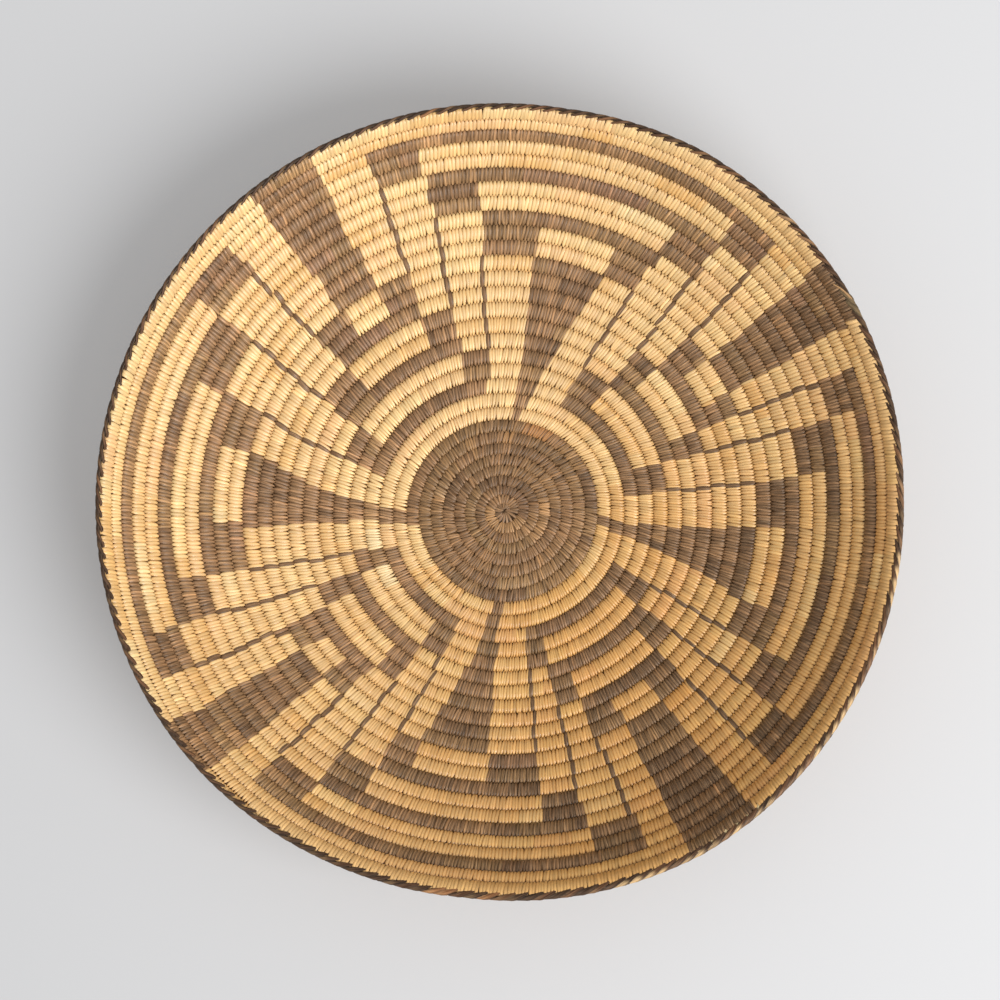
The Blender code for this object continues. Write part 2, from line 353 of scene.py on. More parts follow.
def splint_tints(dark):
    """A tint for each stitch. One splint sews some ten or twenty stitches in a row."""
    tints = np.empty((len(dark), 3))
    for is_dark, (choice, weights, spread) in zip((False, True), SPLINTS):
        places = np.flatnonzero(dark == is_dark)
        lengths = rng.integers(FEWEST_STITCHES, MOST_STITCHES + 1, size=len(places))
        splint = np.searchsorted(np.cumsum(lengths), np.arange(len(places)), side="right")
        chosen = pick(choice, weights, int(splint.max()) + 1)
        tints[places] = chosen[splint] * np.exp(rng.normal(0, spread, (len(places), 1)))
    return tints


# the fret
# The radial lines of the fret in its four quarters, as (row, degrees) pairs, from the inside
# outwards, to the nearest half degree, which is about a stitch
LINES = {
    "A": (
        ((3, 6.5), (13, 5.5)), ((3, 97.5), (4.5, 96), (13, 94)), ((3, 198), (4.5, 195.5), (13, 193)),
        ((3, 280), (4, 279), (13, 277.5)),
    ),
    "B": (
        ((4.5, 17.5), (7, 16), (15, 14.5)), ((4, 106.5), (6, 104.5), (15, 103)),
        ((4, 204.5), (6, 202.5), (9, 201.5), (15, 200.5)), ((4, 286.5), (6, 285.5), (15, 285)),
    ),
    "C": (
        ((7, 22), (18, 20.5)), ((7, 114), (10, 112), (18, 111)), ((7, 208.5), (18, 208)),
        ((7, 292), (10, 291.5), (18, 293)),
    ),
    "D": (
        ((10, 27), (22, 26.5)), ((10, 120), (22, 118.5)), ((10, 215), (22, 214)),
        ((10, 299.5), (22, 298.5)),
    ),
    "E": (((10, 36),), ((10, 129),), ((10, 223),), ((10, 309.5),)),
    "F": (
        ((6, 42.5), (18, 43)), ((7.5, 138.5), (9, 137.5), (18.5, 136.5)),
        ((7.5, 231), (9, 230), (12, 229), (18.5, 228.5)), ((7.5, 318), (9, 317), (18.5, 316)),
    ),
    "G": (
        ((4, 50),), ((4.5, 150), (7, 149), (15, 145.5)), ((4, 238.5), (15, 236.5)),
        ((4, 325), (6, 324.5), (15, 323.5)),
    ),
    "H": (
        ((3, 62), (14, 58)), ((3, 164), (4, 163), (12.5, 157.5)), ((3, 248), (4, 247.5), (12.5, 244.5)),
        ((3, 334), (4, 333), (12.5, 331)),
    ),
    "I": (
        ((1, 80), (3, 75.5), (7, 70.5), (11, 66.5)), ((2, 178.5), (3, 177), (11, 167)),
        ((1, 263.5), (2, 260.5), (3, 260), (9, 252.5), (11, 250.5)),
        ((1, 351), (2, 348.5), (3, 347.5), (5, 345), (11, 339)),
    ),
    "J": (
        ((1, 85.5), (2, 83.5), (11, 83), (12, 82.5)), ((2, 186), (3, 184), (11, 184), (12, 183)),
        ((1, 268.5), (2, 267), (12, 266.5)), ((1, 356), (2, 354), (4, 353.5), (11, 355.5)),
    ),
}
# Rows from and to, and the two lines that a dark field lies between. A prime is the next quarter.
FIELDS = (
    (1, 11, "I", "J"), (3, 3, "A", "H"), (4, 5, "A", "B"), (4, 5, "G", "H"), (6, 6, "B", "G"),
    (7, 8, "B", "C"), (7, 8, "F", "G"), (9, 9, "C", "F"), (10, 11, "C", "D"), (10, 11, "E", "F"),
    (12, 22, "D", "E"), (12, 13, "H", "I"), (12, 13, "J", "A'"), (14, 14, "H", "A'"),
    (15, 16, "G", "H"), (15, 16, "A'", "B'"), (17, 17, "G", "B'"), (18, 19, "F", "G"),
    (18, 19, "B'", "C'"), (20, 20, "F", "C'"),
)
# Rows from and to, and the lines along which single dark stitches join the fields.
SINGLES = ((6, 11, "A"), (6, 11, "H"), (9, 14, "B"), (9, 14, "G"), (12, 17, "C"), (12, 17, "F"))
# How far such a stitch may be from its line, in degrees
SINGLE_REACH = 1.0
# The fret's rows from this one on begin this share of a round after the coil's.
OUTER_PATTERN_FROM, OUTER_PATTERN_LATE = 12, 24 / 360


def line_angle(quarter, letter, row):
    """Angle in degrees of a line of the fret at a row."""
    if letter.endswith("'"):
        return line_angle((quarter + 1) % 4, letter[0], row) + (360 if quarter == 3 else 0)
    rows, angles = zip(*LINES[letter][quarter])
    return float(np.interp(row, rows, angles))


def pattern_rows(turn):
    """The row of the fret at each turn. Its outer rows begin later than the coil's rounds."""
    outer = np.ceil(turn - OUTER_PATTERN_LATE)
    inner = np.minimum(np.ceil(turn), OUTER_PATTERN_FROM - 1)
    return np.minimum(np.where(outer >= OUTER_PATTERN_FROM, outer, inner), WALL_ROUNDS).astype(int)


def dark_stitches(row, degrees):
    """Which stitches of a row are dark, from their angles in degrees."""
    dark = np.zeros(len(degrees), dtype=bool)
    nearest = []
    for quarter in range(4):
        for low, high, left, right in FIELDS:
            if low <= row <= high:
                a, b = line_angle(quarter, left, row), line_angle(quarter, right, row)
                dark |= (degrees - a) % 360 < (b - a)
        for low, high, letter in SINGLES:
            if low <= row <= high:
                gap = np.abs((degrees - line_angle(quarter, letter, row) + 180) % 360 - 180)
                if gap.min() < SINGLE_REACH:
                    nearest.append(int(np.argmin(gap)))
    dark[nearest] = True
    return dark


# the stitches
# The stitches are this much wider on one side, and as much narrower on the other
UNEVEN, UNEVEN_FROM = 0.07, math.radians(135)
# The sewing is finest in the middle: width of a stitch in millimetres at a radius in metres
PITCH_RADII = (0.02, 0.045, 0.052, 0.08, 0.09, 0.11, 0.13, 0.15, 0.168)
PITCHES = (1.46, 1.42, 1.39, 1.39, 1.45, 1.56, 1.66, 1.75, 1.80)
# The stitches slant, in degrees, less in the outer rows and on the right
SLANT_ROWS, SLANTS = (-7, 0, 6, 22), (9.0, 9.0, 6.5, 4.5)
UPRIGHT_AT, UPRIGHT_SPREAD, UPRIGHT = 350, 35, 3.5
# From this row on each goes into a gap of the row before, at most this share of a stitch beside it,
# and the row is evened out
FIRST_JOINED_ROW, INTO_SHARE = -5, 0.45
EVENING_STEPS, EVENING_SHARE = 24, 0.2
# How uneven the sewing is: the lean in degrees and the place in stitches
WALL_LEANS, WALL_JITTER = 2.0, 0.10
DISC_LEANS, DISC_JITTER = 4.0, 0.20
NARROWEST, WIDEST, LONE_WIDER = 0.7, 1.35, 1.4
# How ragged the fret's borders are, in stitches
RAGGED = 0.22


def follow(gaps, count, first, last):
    """Stitches that follow the gaps of the row before, or are let in, and the gap of each."""
    more = count - len(gaps)
    share = (np.arange(abs(more)) + rng.uniform(0.25, 0.75, abs(more))) / max(abs(more), 1)
    spots = np.unique((share * (len(gaps) - 1)).astype(int))
    if more > 0:
        gaps = np.sort(np.concatenate((gaps, (gaps[spots] + gaps[spots + 1]) / 2)))
    elif more < 0:
        gaps = np.delete(gaps, spots)
    while len(gaps) < count:
        widest = int(np.argmax(np.diff(gaps)))
        gaps = np.insert(gaps, widest + 1, (gaps[widest] + gaps[widest + 1]) / 2)
    gaps = gaps[:count]
    even = gaps * (1 - EVENING_SHARE) + np.linspace(first, last, count) * EVENING_SHARE
    even[0], even[-1] = first, last
    for _ in range(EVENING_STEPS):
        even[1:-1] = even[1:-1] / 2 + (even[2:] + even[:-2]) / 4
    return even, gaps


def fret_colours(turn, spacing):
    """Which stitches of a row of the wall are dark, and which of these stand alone."""
    wobble = rng.normal(0, RAGGED, len(turn)) * np.degrees(spacing * TAU)
    degrees = np.degrees(angle_at(turn)) % 360
    dark = np.zeros(len(turn), dtype=bool)
    pattern = pattern_rows(turn)
    for number in np.unique(pattern):
        here = pattern == number
        dark[here] = dark_stitches(number, (degrees + wobble)[here] % 360)
    return dark, dark & ~np.roll(dark, 1) & ~np.roll(dark, -1)


def lay_stitches():
    """Place every stitch of the coil. Returns arrays by what they tell, in sewing order."""
    laid = []
    mouths = np.empty(0)
    edges = [-CENTRE_ROUNDS, *range(-int(CENTRE_ROUNDS), WALL_ROUNDS), END_TURN]
    for low, high in zip(edges, edges[1:]):
        row = min(math.floor(high), WALL_ROUNDS)
        on_wall = row > 0
        radius = float(radius_at((low + high) / 2))
        pitch = float(np.interp(radius, PITCH_RADII, PITCHES)) * MM
        count = max(4, round((high - low) * TAU * radius / pitch))
        spacing = (high - low) / count
        turn = low + (np.arange(count) + 0.5) * spacing
        around = TAU * radius_at(turn)
        half = (thickness_at(turn) + ROUND_GAP) / 2
        upright = UPRIGHT * near(np.degrees(angle_at(turn)), UPRIGHT_AT, UPRIGHT_SPREAD)
        slant = np.interp(high, SLANT_ROWS, SLANTS) - upright
        lean = np.radians(slant + rng.normal(0, WALL_LEANS if on_wall else DISC_LEANS, count))
        sway = np.tan(lean) * half / around
        into = np.zeros(count)
        if row >= FIRST_JOINED_ROW:
            gaps = (mouths[1:] + mouths[:-1]) / 2 + 1 - sway.mean()
            gaps = gaps[(gaps > low) & (gaps < high)]
            before = np.arange(gaps[0] - spacing, low, -spacing)[::-1]
            after = np.arange(gaps[-1] + spacing, high, spacing)
            turn, mouth = follow(
                np.concatenate((before, gaps, after)), count, low + spacing / 2, high - spacing / 2
            )
            into = np.clip(mouth - turn, -INTO_SHARE * spacing, INTO_SHARE * spacing)
        turn = turn + spacing * rng.uniform(-1, 1, count) * (WALL_JITTER if on_wall else DISC_JITTER)
        mouths = np.concatenate((mouths, turn - sway))
        turn = turn + UNEVEN / TAU * np.sin(angle_at(turn) - UNEVEN_FROM)
        turn = np.clip(turn, -CENTRE_ROUNDS, END_TURN)
        neighbours = np.diff(turn, append=turn[-1] + spacing, prepend=turn[0] - spacing)
        wide = (neighbours[1:] + neighbours[:-1]) / 2 * around
        wide = np.clip(wide, NARROWEST * pitch, WIDEST * pitch)
        dark, alone = np.ones(count, dtype=bool), np.zeros(count, dtype=bool)
        if on_wall:
            dark, alone = fret_colours(turn, spacing)
            wide[alone] *= LONE_WIDER
        laid.append({
            "turn": turn, "row": np.full(count, row), "into": into * around, "lean": lean,
            "wide": wide, "dark": dark, "alone": alone,
        })
    return {key: np.concatenate([part[key] for part in laid]) for key in laid[0]}


# A stitch's points: places across it, from edge to edge, how much each is let down, and angles round
# the coil's section from its outer side over the top
ACROSS = np.array((-1.0, -0.52, 0.52, 1.0))
DROP = np.array((1.0, 0.06, 0.06, 1.0))
AROUND = np.radians(np.concatenate((np.arange(0, 180, 20), np.arange(180, 360, 30))))
# Half its height as a share of the coil's thickness, with what it differs by chance, and how far it
# is lifted in millimetres, more where it is a lone dark one
HEIGHT_SHARE, HEIGHT_SPREAD = 0.49, 0.012
LIFTS, LONE_LIFT, TWIST_SPREAD = (-0.05, 0.06), 0.22 * MM, 0.05
# How round its two sides are, outward and inward, and how far they reach past its own round
OUTER_POWER, INNER_POWER = 0.95, 0.85
REACH_OUT, REACH_IN = 0.45 * MM, 1.35 * MM
RIM_REACH_OUT, DISC_REACH_OUT = 0.75 * MM, 0.35 * MM
SHIFT_OUT = 0.30 * MM
# How it narrows towards its outer and its inner end, as two powers each
OUTER_SWELL, INNER_SWELL, RIM_LEAST_SWELL = (3.8, 0.9), (3.0, 0.95), 0.85
OVERLAP, TIP_HALF_WIDTH = 0.09 * MM, 0.06 * MM
SPLINT_ROUNDING, ROUNDING_AT_TIP = 0.25 * MM, 0.55
# Painted shade with some patina: how much darker a stitch is at its edges, where it meets its
# neighbours, and at its ends, where it passes into the next row, and how much fainter that is in the
# disc and last row
EDGE_PALE, EDGE_DARK = np.array((0.12, 0.30, 0.52)), np.array((0.20, 0.28, 0.38))
END_PALE, END_DARK = np.array((0.28, 0.42, 0.56)), np.array((0.24, 0.30, 0.36))
DISC_EDGES, RIM_EDGES, DISC_ENDS, RIM_ENDS = 0.50, 0.25, 0.05, 0.25
ENDS_FROM, EDGE_FROM = 0.72, 0.9
STITCH_LENGTH_MM = 20.0


def build_stitches(name, stitches, tints, chosen):
    """The chosen stitches, as bands round the coil, pointed where they pass into the next row."""
    turn, into, lean, wide, alone = (
        stitches[key][chosen][:, None, None] for key in ("turn", "into", "lean", "wide", "alone")
    )
    count = len(chosen)
    half = (thickness_at(turn) + ROUND_GAP) / 2
    psi = AROUND[None, :, None]
    across = ACROSS[None, None, :]
    power = np.where(np.cos(psi) > 0, OUTER_POWER, INNER_POWER)
    share = signed_power(np.cos(psi), power)
    rimmost, inner = turn > END_TURN - 1, turn < 0
    reach_out = REACH_OUT + rimmost * RIM_REACH_OUT + inner * DISC_REACH_OUT
    outward = SHIFT_OUT + (half + np.where(share > 0, reach_out, REACH_IN)) * share
    top = HEIGHT_SHARE * thickness_at(turn) * (1 + rng.normal(0, HEIGHT_SPREAD, (count, 1, 1)))
    lift = rng.uniform(*LIFTS, (count, 1, 1)) * MM + LONE_LIFT * alone
    rise = signed_power(np.sin(psi), power)
    above = top * rise + lift * rise
    swell = np.where(share > 0, *((1 - np.abs(share) ** a) ** b for a, b in (OUTER_SWELL, INNER_SWELL)))
    swell = np.where(rimmost & (share > 0), np.maximum(swell, RIM_LEAST_SWELL), swell)
    half_width = (0.5 * wide + OVERLAP) * swell + TIP_HALF_WIDTH * (1 - swell)
    rounding = SPLINT_ROUNDING * (ROUNDING_AT_TIP + (1 - ROUNDING_AT_TIP) * swell) * DROP[None, None, :]
    up = signed_power(rise, 0.5)
    twist = rng.normal(0, TWIST_SPREAD, (count, 1, 1)) * MM
    above = above - rounding * up + twist * across * up
    outward = outward - rounding * share * 0.5
    # The lean turns over with the splint on the underside, which begins past 180 degrees
    face = np.where(np.sin(psi) >= -1e-9, 1.0, -1.0)
    inwards = np.clip(0.5 - share * 0.5, 0, 1) ** 1.3
    sideways = -np.tan(lean) * outward * face + into * inwards + across * half_width
    points = place(turn, outward, above, sideways)

    # Painted shade, with some patina, at each stitch's edges and ends, in the gaps between stitches and rows
    edge = (np.abs(ACROSS) > EDGE_FROM).astype(float)[None, None, :, None]
    ends = (np.clip((np.abs(share) - ENDS_FROM) / (1 - ENDS_FROM), 0, 1) ** 1.5)[..., None]
    dark = stitches["dark"][chosen].astype(float)[:, None, None, None]
    edge = edge * np.where(inner, DISC_EDGES, np.where(rimmost, RIM_EDGES, 1.0))[..., None]
    ends = ends * np.where(inner, DISC_ENDS, np.where(rimmost, RIM_ENDS, 1.0))[..., None]
    edge_shade_and_patina = 1 - edge * (EDGE_PALE * (1 - dark) + EDGE_DARK * dark)
    end_shade_and_patina = 1 - ends * (END_PALE * (1 - dark) + END_DARK * dark)
    colours = tints[chosen][:, None, None, :] * edge_shade_and_patina * end_shade_and_patina
    seeds = (np.asarray(chosen) * 7.31 % 997.0)[:, None, None]
    fibres = splint_map(points, across * half_width / MM, psi / TAU * STITCH_LENGTH_MM, seeds)
    return strips_object(name, points, colours, fibres, True, 12.0)


# The bundle under them: how far inside the round and below the top it lies, and how round it is
BUNDLE_INSIDE, BUNDLE_BELOW, BUNDLE_POWER = 0.15 * MM, 0.42 * MM, 0.75
BUNDLE_STEPS, BUNDLE_SIDES = 120, 10


def build_bundle(name):
    """The bundle of stems just under the stitches."""
    steps = int((CENTRE_ROUNDS + END_TURN) * BUNDLE_STEPS)
    turns = np.linspace(-CENTRE_ROUNDS, END_TURN, steps)[:, None]
    psi = (np.arange(BUNDLE_SIDES) * TAU / BUNDLE_SIDES)[None, :]
    half = (thickness_at(turns) + ROUND_GAP) / 2 - BUNDLE_INSIDE
    top = HEIGHT_SHARE * thickness_at(turns) - BUNDLE_BELOW
    outward = half * signed_power(np.cos(psi), BUNDLE_POWER)
    above = top * signed_power(np.sin(psi), BUNDLE_POWER)
    return tube_object(name, place(turns, outward, above, np.zeros(outward.shape)), STEMS, False)


# the braided rim
# The braid's core sits on the last round, its line smoothed over this many steps on either side
BRAID_STEPS, SMOOTHED, CORE_SEAT = 400, 30, 0.85


def bead_line():
    """Radius, height and slope of the braid's core at even angles, smoothed over the join."""
    turn = END_TURN - 1 + (np.arange(BRAID_STEPS) + 0.5) / BRAID_STEPS
    outward = thickness_at(turn) / 2 + SEAT_GAP + BRAID_RADIUS * CORE_SEAT
    slope = slope_at(turn)
    radius = radius_at(turn) + outward * np.cos(slope)
    height = height_at(turn) + outward * np.sin(slope)
    kernel = np.hanning(2 * SMOOTHED + 1)
    kernel /= kernel.sum()

    def smooth(value):
        wrapped = np.concatenate((value[-SMOOTHED:], value, value[:SMOOTHED]))
        return np.convolve(wrapped, kernel, mode="valid")

    first = angle_at(END_TURN - 1) % TAU
    return first + TAU * (turn - (END_TURN - 1)), smooth(radius), smooth(height), smooth(slope)


BEAD_ANGLE, BEAD_RADIUS, BEAD_HEIGHT, BEAD_SLOPE = bead_line()


def bead_place(angle, outward, above, sideways):
    """Points beside the core of the braid."""
    angle = angle + sideways / BEAD_RADIUS.mean()
    lookup = (angle - BEAD_ANGLE[0]) % TAU + BEAD_ANGLE[0]
    angles = np.append(BEAD_ANGLE, BEAD_ANGLE[0] + TAU)
    radius, height, slope = (
        np.interp(lookup, angles, np.append(line, line[0])) for line in (BEAD_RADIUS, BEAD_HEIGHT, BEAD_SLOPE)
    )
    r = radius + outward * np.cos(slope) - above * np.sin(slope)
    z = height + outward * np.sin(slope) + above * np.cos(slope)
    r = out_of_round(r, angle)
    return np.stack((r * np.cos(angle), r * np.sin(angle), z), axis=-1)


# A strand's way over the rim from its inner tip: outward of the core's middle and above it, in
# millimetres, by its share of the way
STRAND_SHARES = (0.0, 0.16, 0.33, 0.48, 0.59, 0.71, 0.86, 1.0)
STRAND_OUTWARD = (-1.25, -0.35, 0.60, 1.25, 1.50, 1.50, 1.10, 0.40)
STRAND_ABOVE = (2.10, 1.85, 1.45, 0.88, 0.30, -0.40, -1.10, -1.60)
STRAND_STEPS, STRAND_WIDE, STRAND_LENGTH_MM = 20, 6, 16.0
# How it tilts sideways, how crowned it is and how broad its tips are, as shares of its half width, and
# the share of its way in which a longer tip is drawn out
TILT, CROWN, BLUNTNESS, DRAWN_OUT = 0.13, 0.34, 0.12, 0.25


def strand_points(start, first, last, run, slant, half_width, lower, longer):
    """Ribbons that cross the rim, each from one share of the strand's way to another."""
    share = np.linspace(first, last, STRAND_STEPS)[None, :]
    across = np.linspace(-1, 1, STRAND_WIDE)[None, None, :]
    outward = np.interp(share, STRAND_SHARES, STRAND_OUTWARD) * MM
    above = np.interp(share, STRAND_SHARES, STRAND_ABOVE) * MM
    for path in (outward, above):
        path[:, 1:-1] = path[:, 1:-1] / 2 + (path[:, 2:] + path[:, :-2]) / 4
    outward = outward - longer * np.clip(1 - share / DRAWN_OUT, 0, 1) * MM
    along_out, along_up = np.gradient(outward, axis=1), np.gradient(above + 0 * outward, axis=1)
    length = np.hypot(along_out, along_up)
    along_out, along_up = along_out / length, along_up / length
    travelled = (share - first) / (last - first)
    tip = fullness(travelled, start=(0.04, 0.12), end=(0.03, 0.16), power=0.5)
    half = half_width * (BLUNTNESS + (1 - BLUNTNESS) * tip)
    sideways = ((0.5 - travelled) * run)[..., None] + across * (half * math.sin(slant))[..., None]
    slip = across * (half * math.cos(slant))[..., None]
    lift = (TILT * across - CROWN * across ** 2) * half[..., None] - lower
    out = outward[..., None] + slip * along_out[..., None] - lift * along_up[..., None]
    up = above[..., None] + slip * along_up[..., None] + lift * along_out[..., None]
    shape = np.broadcast_shapes(out.shape, up.shape, sideways.shape)
    beside = [np.broadcast_to(value, shape) for value in (out, up, sideways)]
    return bead_place(start[:, None, None], *beside), travelled, across, tip


def strand_object(name, points, colours, half_width):
    across = np.linspace(-1, 1, STRAND_WIDE)[None, None, :]
    along = np.linspace(0, STRAND_LENGTH_MM, STRAND_STEPS)[None, :, None]
    seeds = (np.arange(len(points)) * 5.17 + 400)[:, None, None]
    fibres = splint_map(points, across * half_width[..., None] / MM, along, seeds)
    return strips_object(name, points, colours, fibres, False, 9.0)


BRAID_PITCH = 6.9 * MM
# The lower and the upper layer of strands: the share of the way that they begin at, how far they run
# along the rim, their slant, half width and depth, their tints' weights, and how bright they are
LAYERS = (
    (0.56, 8.5 * MM, math.radians(23), 0.78 * MM, 0.25 * MM, (5, 3, 1, 0.1), 0.8),
    (0.0, 11.5 * MM, math.radians(25), 0.80 * MM, 0.0, (6, 4, 1.2, 0.3), 1.0),
)
START_JITTER, WIDTH_SPREAD, BRAID_TINT_SPREAD = 0.13, 0.08, 0.14
# Places on the rim in degrees, how far each reaches, and what changes there: the strands run further
# or are broader, and the upper ones' tips are shorter or longer, in millimetres
RUN_FURTHER = (320, 50, 0.3)
BROADER = ((300, 80, 0.65), (28.4, 4, 0.8))
TIP_JITTER, SHORTER, PALE_TIPS_LONGER = 0.35, ((185, 45, 0.9), (95, 25, 0.5)), 1.1
ORANGE_AT, ORANGE_RANGE, ORANGE_SHARE = (99.7, 260.4, 262.2, 267.6), 0.9, 0.40
# Painted highlight: strands lightened to buff on their outer side, one by one between these two
# places, a little elsewhere
BUFF_FROM, BUFF_TO, BUFF_SHEEN = 288, 352, linear(210, 174, 124)
BUFF_SHARES, BUFF_ELSEWHERE, SHEEN_FROM = (0.1, 0.5, 0.9), 0.18, 0.40
# Strands whose inner tips are pale, and the broad olive end that lies beside the tail
PALE_TIPS_FROM, PALE_TIPS_TO, PALE_TIP, PALE_TIP_SHARE = 299.5, 309.5, linear(236, 212, 158), 0.11
OLIVE_AT, OLIVE_RANGE, OLIVE_STRAND = 28.4, 2.4, linear(112, 94, 66)


def build_braid(name):
    """Slanting strands over the rim in two layers. The upper ones begin as teeth on the last row."""
    count = round(TAU * BEAD_RADIUS.mean() / BRAID_PITCH)
    even = np.arange(count) / count * TAU
    layers = []
    for upper, layer in zip((False, True), LAYERS):
        first, run, slant, half_width, lower, weights, bright = layer
        jitter = rng.uniform(-START_JITTER, START_JITTER, count)
        start = even + (jitter + (0 if upper else 0.5)) / count * TAU
        degrees = np.degrees(start) % 360
        size = 1 + sum(much * near(degrees, middle, spread) for middle, spread, much in BROADER)
        size *= 1 + rng.normal(0, WIDTH_SPREAD, count)
        half_width = half_width * size[:, None]
        pale = upper & (degrees > PALE_TIPS_FROM) & (degrees < PALE_TIPS_TO)
        longer = np.zeros(count)
        if upper:
            longer = rng.uniform(-TIP_JITTER, TIP_JITTER, count) + PALE_TIPS_LONGER * pale
            longer -= sum(much * near(degrees, middle, spread) for middle, spread, much in SHORTER)
        run = run * (1 + RUN_FURTHER[2] * near(degrees, *RUN_FURTHER[:2]))[:, None]
        points, travelled, across, tip = strand_points(
            start, first, 1.0, run, slant, half_width, lower, longer[:, None]
        )
        tints = pick(BRAID_TINTS, weights, count) * bright
        tints = tints * np.exp(rng.normal(0, BRAID_TINT_SPREAD, (count, 1)))
        orange = np.min(np.abs(degrees[:, None] - np.array(ORANGE_AT)), axis=1) < ORANGE_RANGE
        tints[orange] = tints[orange] * (1 - ORANGE_SHARE) + ORANGE_STRAND * ORANGE_SHARE
        tints[np.abs(degrees - OLIVE_AT) < OLIVE_RANGE] = OLIVE_STRAND
        # Painted highlight in buff on the strands' outer side
        buff, elsewhere = rng.choice(BUFF_SHARES, count), BUFF_ELSEWHERE * rng.random(count) ** 1.6
        buff = np.where((degrees > BUFF_FROM) & (degrees < BUFF_TO), buff, elsewhere)
        painted_sheen = buff[:, None, None] * np.clip((travelled[..., None] - SHEEN_FROM) / 0.2, 0, 1)
        shade = strip_shade(across, tip[..., None], edge=0.45, least=0.6)
        colours = tints[:, None, None, :] * (1 - painted_sheen[..., None]) + BUFF_SHEEN * painted_sheen[..., None]
        colours = colours * shade[..., None]
        tipped = (travelled < PALE_TIP_SHARE)[..., None, None]
        colours[pale] = np.where(tipped, PALE_TIP, colours[pale])
        layers.append((points, colours, half_width * np.ones((1, STRAND_STEPS))))
    return strand_object(name, *(np.concatenate(parts) for parts in zip(*layers)))


# The core's thickness and its place, as shares of the braid's radius
CORE_SHARE, CORE_SHIFT, CORE_RINGS, CORE_SIDES = 0.55, 0.3, 360, 14


def build_braid_core(name):
    turned = (np.arange(CORE_SIDES) * TAU / CORE_SIDES)[None, :]
    angle = (np.arange(CORE_RINGS) / CORE_RINGS * TAU)[:, None]
    reach = BRAID_RADIUS * CORE_SHARE
    outward = reach * np.cos(turned) + BRAID_RADIUS * CORE_SHIFT + 0 * angle
    above = reach * np.sin(turned) + 0 * angle
    # Darker than any strand: painted shade where the core shows between the strands
    return tube_object(name, bead_place(angle, outward, above, 0 * above), BRAID_TINTS[0] * 0.6, True)


# The tail: its place in degrees, the share of the way that it ends at, how far it runs along the
# rim, its slant and half width, how high it lies, and how much longer its tip is
TAIL_AT, TAIL_TO, TAIL_RUN, TAIL_SLANT = 31.2, 0.62, 13.0 * MM, math.radians(24)
TAIL_HALF_WIDTH, TAIL_ABOVE, TAIL_LONGER_MM = 0.55 * MM, 0.40 * MM, 1.7


def build_tail(name):
    """The end of the last strand, laid over the others."""
    half_width = np.full((1, STRAND_STEPS), TAIL_HALF_WIDTH)
    points, _, across, tip = strand_points(
        np.radians([TAIL_AT]), 0.0, TAIL_TO, TAIL_RUN, TAIL_SLANT, half_width, -TAIL_ABOVE, TAIL_LONGER_MM
    )
    shade = strip_shade(across, tip[..., None], edge=0.35, least=0.7)
    return strand_object(name, points, TAIL_TINT * shade[..., None], half_width)


# the start of the coil
KNOT_TOP = 3.5 * MM
SLIT_HALF_LENGTH, SLIT_HALF_WIDTH, SLIT_HEADING = 1.25 * MM, 0.38 * MM, math.radians(52)
# The knot's stitches: their number, their steps from end to end, and their half width
KNOT_STITCHES, KNOT_STEPS, KNOT_HALF_WIDTH = 17, 14, 0.72 * MM
# They swerve by this angle, are shaded over this share of their way from the slit, and dip into it
KNOT_SWERVE, KNOT_SHADED, SLIT_DEPTH, SLIT_SIDE = 0.25, 0.25, 0.5 * MM, 0.12


def knot_reach(heading):
    """How far the knot reaches: under the inner edge of the first round, which winds away."""
    turn = (heading - START_ANGLE) / TAU + CENTRE_ROUNDS
    turn = turn - np.floor(turn) - CENTRE_ROUNDS
    return radius_at(turn) - thickness_at(turn) / 2 + 1.1 * MM


def knot_height(reach, heading):
    """Height of the button that the coil starts from, at a distance from its middle."""
    share = reach / (knot_reach(heading) * 1.35)
    return KNOT_TOP * np.sqrt(np.clip(1 - share ** 2, 0.02, 1))


def build_knot(name):
    """The start of the coil: short stitches that meet at a slit in the middle."""
    share = np.linspace(0, 1, KNOT_STEPS)[None, :, None]
    across = ACROSS[None, None, :]
    jitter = rng.uniform(-0.2, 0.2, KNOT_STITCHES)
    heading = ((np.arange(KNOT_STITCHES) + jitter) / KNOT_STITCHES * TAU)[:, None, None]
    slit = heading - SLIT_HEADING
    start = 1 / np.hypot(np.cos(slit) / SLIT_HALF_LENGTH, np.sin(slit) / SLIT_HALF_WIDTH)
    bend = heading - KNOT_SWERVE * share
    out = start + (knot_reach(bend) - start) * share
    room = out * TAU / KNOT_STITCHES / 2
    tip = fullness(share, start=(0.1, 0.25), end=(0.02, 0.25), power=0.7)
    half_width = np.minimum(room * 1.1, KNOT_HALF_WIDTH) * tip + 0.05 * MM
    crown = (0.12 - 0.28 * DROP[None, None, :]) * MM * np.minimum(half_width / (0.6 * MM), 1)
    z = knot_height(out, bend) + crown - SLIT_DEPTH * np.clip(1 - share / SLIT_SIDE, 0, 1)
    x = out * np.cos(bend) - across * half_width * np.sin(bend)
    y = out * np.sin(bend) + across * half_width * np.cos(bend)
    points = np.stack((x, y, z + 0 * x), axis=-1)
    knot_tints = pick((DARK, DARK_BLACK, DARK_PURPLE), (3, 3, 1), KNOT_STITCHES)
    shade = strip_shade(across, np.clip(share / KNOT_SHADED, 0, 1), edge=0.45, least=0.45)
    seeds = (np.arange(KNOT_STITCHES) * 3.7 + 900)[:, None, None]
    fibres = splint_map(points, across * half_width / MM, share * 4.0, seeds)
    return strips_object(name, points, knot_tints[:, None, None, :] * shade[..., None], fibres, False, 4.0)


